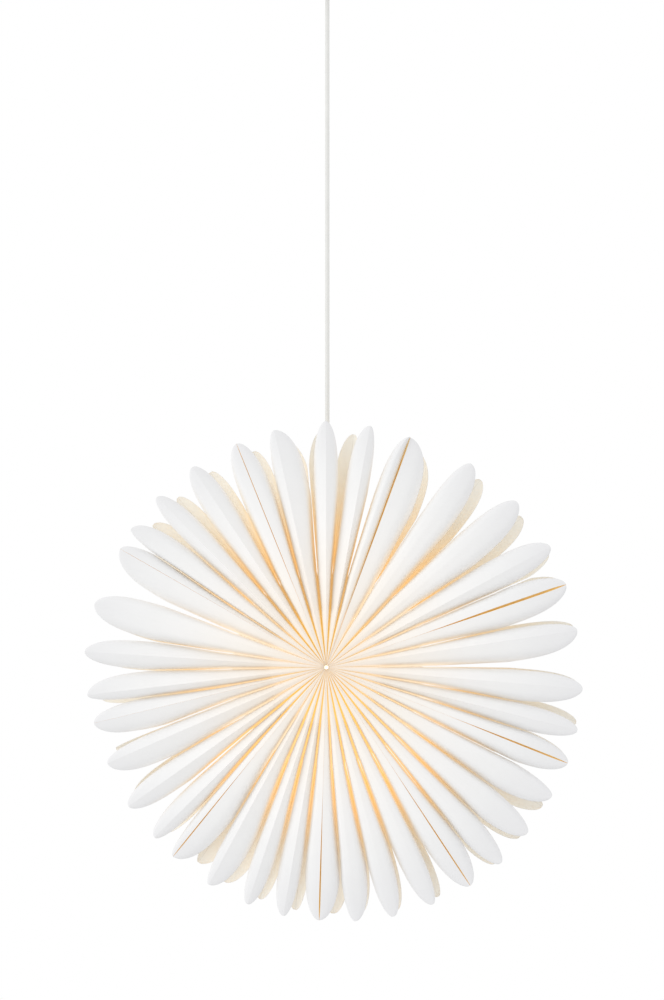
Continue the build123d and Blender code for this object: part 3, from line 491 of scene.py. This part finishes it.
BACK_HALF_WIDTHS = {
    2: (21.0, 36.5), 3: (15.5, 20.0), 4: (17.4, 21.0), 9: (16.2, 11.8), 11: (13.5, 21.8),
    12: (16.0, 18.5), 18: (21.0, 17.5), 22: (23.8, 10.6), 24: (14.8, 13.0), 25: (20.0, 4.0),
    30: (27.0, 12.2), 31: (9.0, 18.1), 32: (12.9, 14.0), 33: (18.0, 14.2), 34: (19.0, 16.3),
    35: (12.0, 25.0),
}

# How tightly each valley is pressed together, from 0, lying open, to 1. A tight one lets the light
# of the bulb through its two layers of paper. These numbers only set how strongly that light is
# painted into the fold, as a warmer colour and a glow.
VALLEY_SQUEEZE = [
    1.0, 0.9, 0.15, 0.6, 0.1, 0.25, 0.15, 0.0, 0.15, 0.2, 0.35, 0.35,
    0.8, 0.9, 1.0, 1.0, 1.0, 0.7, 0.9, 1.0, 0.8, 0.1, 1.0, 0.9,
    0.1, 0.1, 0.4, 0.10, 0.0, 0.0, 0.35, 0.3, 0.9, 1.0, 1.0, 1.0,
]
PETALS = len(FRONT_TIPS)
PETALS_PER_SHEET = 4
SHEETS = PETALS // PETALS_PER_SHEET
FIRST_SEAM = 2
HUB_HOLE = 0.0022
HOLLOW = 0.072                  # the glued valleys begin here
NOTCH = 0.115                   # and end here, where the petals part
HOLLOW_DEPTH = 0.055
TIP_DEPTH = 0.060
WIDEST = 0.55
TIP_HALF_WIDTH = 0.0012
TIP_ROUNDING, TIP_POINT = 3.5, 0.60
EDGE_SWEEP = 0.82
CLEARANCE = 0.95
PAPER = 0.0003
LEAST_DEPTH = 0.0008            # of a face, from its ridge to its valley
GLUED_ROWS, FREE_ROWS, FACE_STEPS = 16, 34, 12
ROW_SPACING, FACE_SPACING = 1.15, 1.35
BACK_LEAN = 0.0052              # the back petals lean this far to the right at their tips
MAP_LENGTH = 0.32               # the paper's map is 0 at the hub and 1 at this radius
SAME_PLACE = 0.00001
RIDGE_EDGE = 0.0001             # an edge whose ends lie nearer than this on the map is a ridge
TINY = 1e-6

# A face slopes gently beside its ridge, more so towards the tip, and drops at its lower edge.
# The drop is steepest near the hub.
RIDGE_SLOPE = 0.05
ROUND_TIP_SLOPE, PRESSED_TIP_SLOPE = 0.09, 0.20
HUB_DROP, TIP_DROP = 9.0, 4.0

# The petals whose ridge was pressed sharply, with how far their faces slope beside it, and the
# half that has rolled up beside its slit
CREASED = {
    0: 0.20, 1: 0.22, 5: 0.12, 7: 0.10, 8: 0.12, 9: 0.20, 19: 0.20, 20: 0.18,
    21: 0.20, 23: 0.20, 24: 0.26, 25: 0.26, 26: 0.20, 27: 0.24, 28: 0.26, 30: 0.14,
    32: 0.20, 33: 0.22, 35: 0.24,
}
CREASE_START = 0.15             # a pressed ridge slopes in full from this radius
ROLLED = {(2, 1): 0.007}
ROLL_START = 0.12
ROLL_BULGE, ROLL_DIP = 0.8, 0.5

# Slits between two sheets on a ridge: the seam's petal, its widest opening, where it starts
# and where it is widest, from the middle of the star
SLITS = {
    2: (0.0016, 0.060, 0.200), 6: (0.0028, 0.108, 0.230), 10: (0.0020, 0.150, 0.260),
    14: (0.0014, 0.120, 0.260), 18: (0.0017, 0.140, 0.270), 22: (0.0012, 0.120, 0.250),
    26: (0.0, 0.100, 0.250), 30: (0.0002, 0.100, 0.250), 34: (0.0007, 0.060, 0.180),
}
LEAST_SLIT = 0.00005
MOST_SLIT = 0.3                 # of a face's width
SLIT_END, SLIT_CLOSED = 0.92, 0.9   # it closes from this part of the petal on, by this much

# Each sheet's end is turned in behind its slit, and one reaches across under the other. For each
# side of the ridge: where its lower edge ends sideways, in half widths of the slit, and how much
# of the hem's depth it drops.
HEM = 0.009
HEM_LIMIT = 0.8                 # of a face's depth
HEM_END = {1: 0.9, -1: -1.2}
HEM_DROP = {1: 0.55, -1: 1.0}


def angle_between(bearing, other):
    return abs((other - bearing + 180) % 360 - 180)


def reach(petal, radius, tips, side, widths):
    """Width of one face of a petal, from its ridge to its lower edge. side is 1 towards the
    petal before and -1 towards the petal after."""
    other = (petal - side) % PETALS
    before = side > 0
    own = widths.get(petal, HALF_WIDTHS[petal])[0 if before else 1] / 1000
    theirs = widths.get(other, HALF_WIDTHS[other])[1 if before else 0] / 1000
    valley = angle_between(tips[petal], VALLEYS[other if before else petal])
    parting = angle_between(tips[petal], tips[other]) * own / (own + theirs)
    length = PETAL_LENGTHS[petal]
    along = max(0.0, (radius - NOTCH) / (length - NOTCH))
    opened = min(1.0, along / WIDEST)
    room = radius * math.radians(valley + (parting - valley) * opened)
    if along <= 0:
        return room
    notch_width = NOTCH * math.radians(valley)
    width = notch_width + (own - notch_width) * opened
    if along > WIDEST:
        beyond = (along - WIDEST) / (1 - WIDEST)
        closing = max(0.0, 1 - beyond**TIP_ROUNDING) ** TIP_POINT
        width = TIP_HALF_WIDTH + (own - TIP_HALF_WIDTH) * closing
    return min(width, CLEARANCE * room)


def half_petal(bm, layers, petal, facing, side, seam):
    """One face of a petal: a grid, laid from the hub to the tip and from the ridge to its edge."""
    paper_map, squeeze, crease = layers
    tips = FRONT_TIPS if facing > 0 else BACK_TIPS
    length = PETAL_LENGTHS[petal]
    rows = GLUED_ROWS + FREE_ROWS
    grid = bmesh.ops.create_grid(bm, x_segments=rows, y_segments=FACE_STEPS, size=0.5)
    verts = grid["verts"]
    faces = {face for vert in verts for face in vert.link_faces}
    wide, opens, widest = SLITS.get(petal, (0.0, 0.1, 0.2))
    tight = VALLEY_SQUEEZE[(petal - side) % PETALS if side > 0 else petal]
    places, turned = {}, {}
    for vert in verts:
        along = vert.co.x + 0.5
        across = vert.co.y + 0.5
        glued = GLUED_ROWS / rows
        if along <= glued + TINY:
            radius = HUB_HOLE + (NOTCH - HUB_HOLE) * along / glued
        else:
            past = (along - glued) / (1 - glued)
            radius = NOTCH + (length - NOTCH) * math.sin(past * math.pi / 2) ** ROW_SPACING
        face_width = reach(petal, radius, tips, side, {} if facing > 0 else BACK_HALF_WIDTHS)
        start = 0.0
        if seam and facing > 0:
            grown = min(1.0, max(0.0, (radius - opens) / (widest - opens)))
            shut = max(0.0, (radius / length - SLIT_END) / (1 - SLIT_END)) ** 2
            opening = grown * grown * (3 - 2 * grown) * (1 - SLIT_CLOSED * shut)
            start = min(wide / 2 * opening + LEAST_SLIT, MOST_SLIT * face_width)
        outward = 1 - (1 - across) ** FACE_SPACING
        top = FACE_DEPTH + (TIP_DEPTH - FACE_DEPTH) * radius / length
        if radius < HOLLOW:
            low = HOLLOW_DEPTH * math.sqrt(1 - (radius / HOLLOW) ** 2)
        elif radius <= NOTCH:
            low = PAPER
        else:
            low = (TIP_DEPTH - TIP_HALF_WIDTH) * ((radius - NOTCH) / (length - NOTCH)) ** EDGE_SWEEP
        low = min(low, top - LEAST_DEPTH)
        free = max(0.0, (radius - NOTCH) / (length - NOTCH))
        pressed = CREASED.get(petal, 0.0)
        tip_slope = PRESSED_TIP_SLOPE if pressed else ROUND_TIP_SLOPE
        slope = RIDGE_SLOPE + tip_slope * free + pressed * min(1.0, radius / CREASE_START)
        power = HUB_DROP + (TIP_DROP - HUB_DROP) * free
        drop = slope * outward + (1 - slope) * outward**power
        depth = top - (top - low) * drop
        if facing > 0 and (petal, side) in ROLLED:
            roll = ROLLED[petal, side] * min(1.0, radius / ROLL_START)
            bulge = ROLL_BULGE * math.sin(math.pi * outward) - ROLL_DIP * (1 - outward) ** 3
            depth += roll * bulge
        width = start + (face_width - start) * outward
        bearing = math.radians(tips[petal]) + side * width / radius
        lean = BACK_LEAN * free if facing < 0 else 0.0
        x, z = radius * math.cos(bearing) + lean, HUB.z + radius * math.sin(bearing)
        vert.co = (x, -facing * depth, z)
        places[vert] = (outward, radius / MAP_LENGTH)
        vert[squeeze] = tight
        vert[crease] = 1.0 if pressed or seam else 0.0
        if seam and facing > 0 and across < TINY and radius > HOLLOW:
            turned[vert] = (radius, start, min(HEM, HEM_LIMIT * (top - low)))
    hem = turned_hem(bm, squeeze, turned, places, tips[petal], side) if turned else set()
    for face in faces | hem:
        face.smooth = True
        for loop in face.loops:
            loop[paper_map].uv = places[loop.vert]
    for face in hem:
        face.material_index = 2
    faces |= hem
    bmesh.ops.recalc_face_normals(bm, faces=list(faces))
    if sum(face.normal.y for face in faces) * facing > 0:
        bmesh.ops.reverse_faces(bm, faces=list(faces))


def turned_hem(bm, squeeze, turned, places, tip, side):
    """The end of a sheet, turned in behind its slit."""
    edges = [edge for edge in bm.edges if all(vert in turned for vert in edge.verts)]
    order = {vert.co.to_tuple(6): vert for edge in edges for vert in edge.verts}
    made = bmesh.ops.extrude_edge_only(bm, edges=edges)["geom"]
    for vert in [item for item in made if isinstance(item, bmesh.types.BMVert)]:
        radius, start, drop = turned[order[vert.co.to_tuple(6)]]
        places[vert] = (0.0, radius / MAP_LENGTH)
        vert[squeeze] = 0.0
        bearing = math.radians(tip) + side * HEM_END[side] * start / radius
        vert.co.x = radius * math.cos(bearing)
        vert.co.y += HEM_DROP[side] * drop
        vert.co.z = HUB.z + radius * math.sin(bearing)
    return {item for item in made if isinstance(item, bmesh.types.BMFace)}


def sheet_halves(number):
    """The faces of one sheet: it begins and ends on a ridge that it shares with its neighbour."""
    first = (FIRST_SEAM + PETALS_PER_SHEET * (number - 2)) % PETALS
    last = (first + PETALS_PER_SHEET) % PETALS
    middle = [(first + step) % PETALS for step in range(1, PETALS_PER_SHEET)]
    return [(first, -1), *[(petal, side) for petal in middle for side in (1, -1)], (last, 1)]


def stops(*rows):
    """Colours along a petal, by their distance from the hub in metres."""
    return [(distance / MAP_LENGTH, colour) for distance, colour in rows]


# Where the paper's colours and its painted light from the bulb change along its map, and across it,
# where a face's ridge is 0 and its edge 1
HUB_SIDE = (0.02, 0.30)         # along: the part nearest the hub ends
FOLD_FADES = (0.45, 0.90)       # along: the glow of a fold ends
OPEN_FADES = (0.32, 0.60)       # along: an open valley loses half its glow
FOLD_EDGE = (0.72, 1.0)         # across: a fold begins
FOLD_WIDENS = 0.22              # across: it begins this much sooner near the hub
# A face's pale middle is painted with less of the bulb's light. Over the bulb's reach, the folds'
# painted glow grows weaker from below the hub to above it.
MIDDLE_EDGE = (0.45, 1.0)       # across: the pale middle of a petal ends
BULB_REACH = 0.12               # above and below the hub
HUB_FOLD_LIGHT_COLOUR = (0.74, 0.55, 0.25)
RIDGE_WHITE = (0.85, 0.85, 0.81)


def paper_finish(
    name, face_stops, glow_stops, fold_light_colour, fold_glow_stops, open_glow, crease_shade_width, pale_middle
):
    """Paper lit from inside, with the bulb's light painted on. It is painted warmer and glows near
    the hub, and most of all in the folds, where a tight valley shows the bulb through two layers. A
    painted shade darkens it along the ridge."""
    paper = Finish(name, Roughness=0.82, Specular_IOR_Level=0.25, Emission_Strength=1.0)
    across, along, _ = paper.axes(paper.node("ShaderNodeUVMap", {"uv_map": "paper"}))
    place = paper.place()
    tight = paper.node("ShaderNodeAttribute", {"attribute_name": "squeeze"}, output="Fac")
    hub_side = 1 - along.step(*HUB_SIDE)
    fold_edge = (across + FOLD_WIDENS * hub_side).step(*FOLD_EDGE)
    fold = fold_edge * (1 - along.step(*FOLD_FADES))
    # A painted shade along the ridge. It fades out across the face over the crease width, darkening
    # the colour and halving the glow at the ridge.
    crease = 1 - across.step(0.0, crease_shade_width)
    _, _, height = paper.axes(place)
    # The folds' painted glow is weaker above the hub, away from the bulb.
    bulb_side = 1 - 0.45 * height.step(HUB.z - BULB_REACH, HUB.z + BULB_REACH)
    cloud = paper.noise(place, 55.0, 3.0)
    shade = 0.985 + 0.03 * cloud
    # Where pale_middle is set, a face's middle is painted paler, with less of the bulb's warmth and
    # glow than near its edges.
    edge = 1 - pale_middle * (1 - across.step(*MIDDLE_EDGE))
    face = paper.mix(edge, RIDGE_WHITE, paper.ramp(along, face_stops))
    glow = paper.scaled(paper.ramp(along, glow_stops), edge)
    shade = shade * (1 - 0.15 * crease)
    # Tight folds are painted a warmer colour for the bulb's light, warmest near the hub.
    fold_light_tint = paper.mix(hub_side, fold_light_colour, HUB_FOLD_LIGHT_COLOUR)
    paper.set("Base Color", paper.scaled(paper.mix(fold * tight, face, fold_light_tint), shade))
    fold_glow = paper.scaled(paper.ramp(along, fold_glow_stops), bulb_side)
    # Open valleys lose half their painted glow from about the notch outward, and 45 % of it right
    # at the hub.
    open_glow_level = 1 - 0.5 * along.step(*OPEN_FADES) - 0.45 * hub_side
    lit_fold = paper.mix(tight, paper.scaled(open_glow, open_glow_level), fold_glow)
    paper.set("Emission Color", paper.scaled(paper.mix(fold, glow, lit_fold), 1 - 0.5 * crease))
    fibres = paper.noise(paper.stretched(place, 1, 1, 1), 900.0, 3.0, 0.6)
    paper.bump(fibres, 0.00005, 0.35)
    return paper.material


# Both papers' face colours are painted warmer near the hub with the bulb's light, the inner paper's
# further out. The glow ramps are painted light too.
outer_paper = paper_finish(
    "outer_paper",
    face_stops=stops(
        (0.00, (0.87, 0.76, 0.64)), (0.09, (0.89, 0.85, 0.80)), (0.17, (0.87, 0.86, 0.85)),
        (0.24, (0.84, 0.84, 0.84)), (0.30, (0.80, 0.80, 0.81)),
    ),
    glow_stops=stops(
        (0.00, (0.02, 0.010, 0.0)), (0.05, (0.040, 0.026, 0.010)), (0.11, (0.045, 0.035, 0.022)),
        (0.19, (0.02, 0.02, 0.018)), (0.27, (0.0, 0.0, 0.0)),
    ),
    fold_light_colour=(0.86, 0.76, 0.58),
    fold_glow_stops=stops(
        (0.00, (0.24, 0.15, 0.03)), (0.04, (0.37, 0.25, 0.05)), (0.09, (0.38, 0.25, 0.11)),
        (0.16, (0.34, 0.21, 0.10)), (0.24, (0.22, 0.14, 0.07)),
    ),
    open_glow=(0.27, 0.23, 0.18),
    crease_shade_width=0.001,
    pale_middle=0.0,
)
inner_paper = paper_finish(
    "inner_paper",
    face_stops=stops(
        (0.00, (0.88, 0.74, 0.48)), (0.11, (0.88, 0.77, 0.58)), (0.17, (0.87, 0.79, 0.64)),
        (0.24, (0.83, 0.81, 0.74)), (0.30, (0.84, 0.84, 0.80)),
    ),
    glow_stops=stops(
        (0.00, (0.50, 0.31, 0.09)), (0.11, (0.36, 0.20, 0.06)), (0.17, (0.25, 0.16, 0.07)),
        (0.24, (0.085, 0.068, 0.045)), (0.30, (0.050, 0.050, 0.044)),
    ),
    fold_light_colour=(0.88, 0.74, 0.50),
    fold_glow_stops=stops(
        (0.00, (0.45, 0.27, 0.08)), (0.12, (0.34, 0.19, 0.055)), (0.24, (0.16, 0.09, 0.03)),
    ),
    open_glow=(0.26, 0.16, 0.07),
    crease_shade_width=0.05,
    pale_middle=0.40,
)


# The turned hems are painted golden, with a painted glow, for the bulb's warm light showing through
# the slits
hem_paper = Finish("glowing_hem", Specular_IOR_Level=0.3, Emission_Strength=1.0)
hem_mottle = hem_paper.noise(hem_paper.place(), 120.0, 3.0)
hem_paper.set("Base Color", hem_paper.mix(hem_mottle, (0.74, 0.54, 0.22), (0.60, 0.42, 0.15)))
hem_paper.set("Emission Color", hem_paper.mix(hem_mottle, (0.20, 0.12, 0.03), (0.14, 0.08, 0.02)))
hem_paper.set("Roughness", 0.55 + 0.25 * hem_mottle)


def paper_sheet(number, facing):
    name = f"{'front' if facing > 0 else 'back'}_paper_{number}"
    bm = bmesh.new()
    paper_map = bm.loops.layers.uv.new("paper")
    squeeze = bm.verts.layers.float.new("squeeze")
    crease = bm.verts.layers.float.new("crease")
    layers = (paper_map, squeeze, crease)
    halves = sheet_halves(number)
    for petal, side in halves:
        half_petal(bm, layers, petal, facing, side, petal % PETALS_PER_SHEET == FIRST_SEAM)
    bmesh.ops.remove_doubles(bm, verts=bm.verts, dist=SAME_PLACE)
    # A ridge stays sharp only where it was pressed or where two sheets meet
    for edge in bm.edges:
        across = [loop[paper_map].uv.x for vert in edge.verts for loop in vert.link_loops]
        edge.smooth = max(across) > RIDGE_EDGE or min(vert[crease] for vert in edge.verts) == 0
    mesh = bpy.data.meshes.new(name)
    bm.to_mesh(mesh)
    bm.free()
    mesh.materials.append(outer_paper)
    mesh.materials.append(inner_paper)
    if facing > 0:
        mesh.materials.append(hem_paper.material)
    piece = bpy.data.objects.new(name, mesh)
    bpy.context.collection.objects.link(piece)
    thick = piece.modifiers.new("thickness", "SOLIDIFY")
    thick.thickness = PAPER
    thick.offset = -1
    thick.material_offset = 1
    thick.material_offset_rim = 0
    body = "lantern" if number == 1 else f"fold_{number}"
    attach(piece, body)
    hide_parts(name.replace("paper", "sheet"))
    if number > 1:
        tips = [(FRONT_TIPS[petal] + BACK_TIPS[petal]) / 2 for petal, _ in (halves[0], halves[-1])]
        if tips[1] > tips[0]:
            tips[1] -= 360
        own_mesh(piece)
    return piece


for number in range(1, SHEETS + 1):
    for facing in (1, -1):
        paper_sheet(number, facing)

# Room
# A white studio with a pale floor below, soft light all round and a large soft lamp at the
# upper left.

world = bpy.data.worlds.new("studio")
world.use_nodes = True
world.node_tree.nodes["Background"].inputs["Color"].default_value = (1, 1, 1, 1)
world.node_tree.nodes["Background"].inputs["Strength"].default_value = 1.0
bpy.context.scene.world = world

LAMP_PLACE = (-2.5, -1.2, -0.35)
LAMP_DIAMETER = 1.6
LAMP_POWER = 13
lamp_data = bpy.data.lights.new("soft_lamp", "AREA")
lamp_data.shape = "DISK"
lamp_data.size = LAMP_DIAMETER
lamp_data.energy = LAMP_POWER
lamp = bpy.data.objects.new("soft_lamp", lamp_data)
lamp.location = LAMP_PLACE
lamp.rotation_mode = "QUATERNION"
lamp.rotation_quaternion = (HUB - lamp.location).to_track_quat("-Z", "Y")
bpy.context.collection.objects.link(lamp)

FLOOR_LEVEL = -2.6
FLOOR_RADIUS = 3.2
FLOOR_SIDES = 128
bm = bmesh.new()
bmesh.ops.create_circle(bm, cap_ends=True, segments=FLOOR_SIDES, radius=FLOOR_RADIUS)
bmesh.ops.translate(bm, verts=bm.verts, vec=(0, 0, FLOOR_LEVEL))
floor_mesh = bpy.data.meshes.new("floor")
bm.to_mesh(floor_mesh)
bm.free()
floor = bpy.data.objects.new("floor", floor_mesh)
bpy.context.collection.objects.link(floor)
floor_finish = Finish("pale_floor", Base_Color=(0.8, 0.8, 0.8), Roughness=0.7)
floor_mesh.materials.append(floor_finish.material)
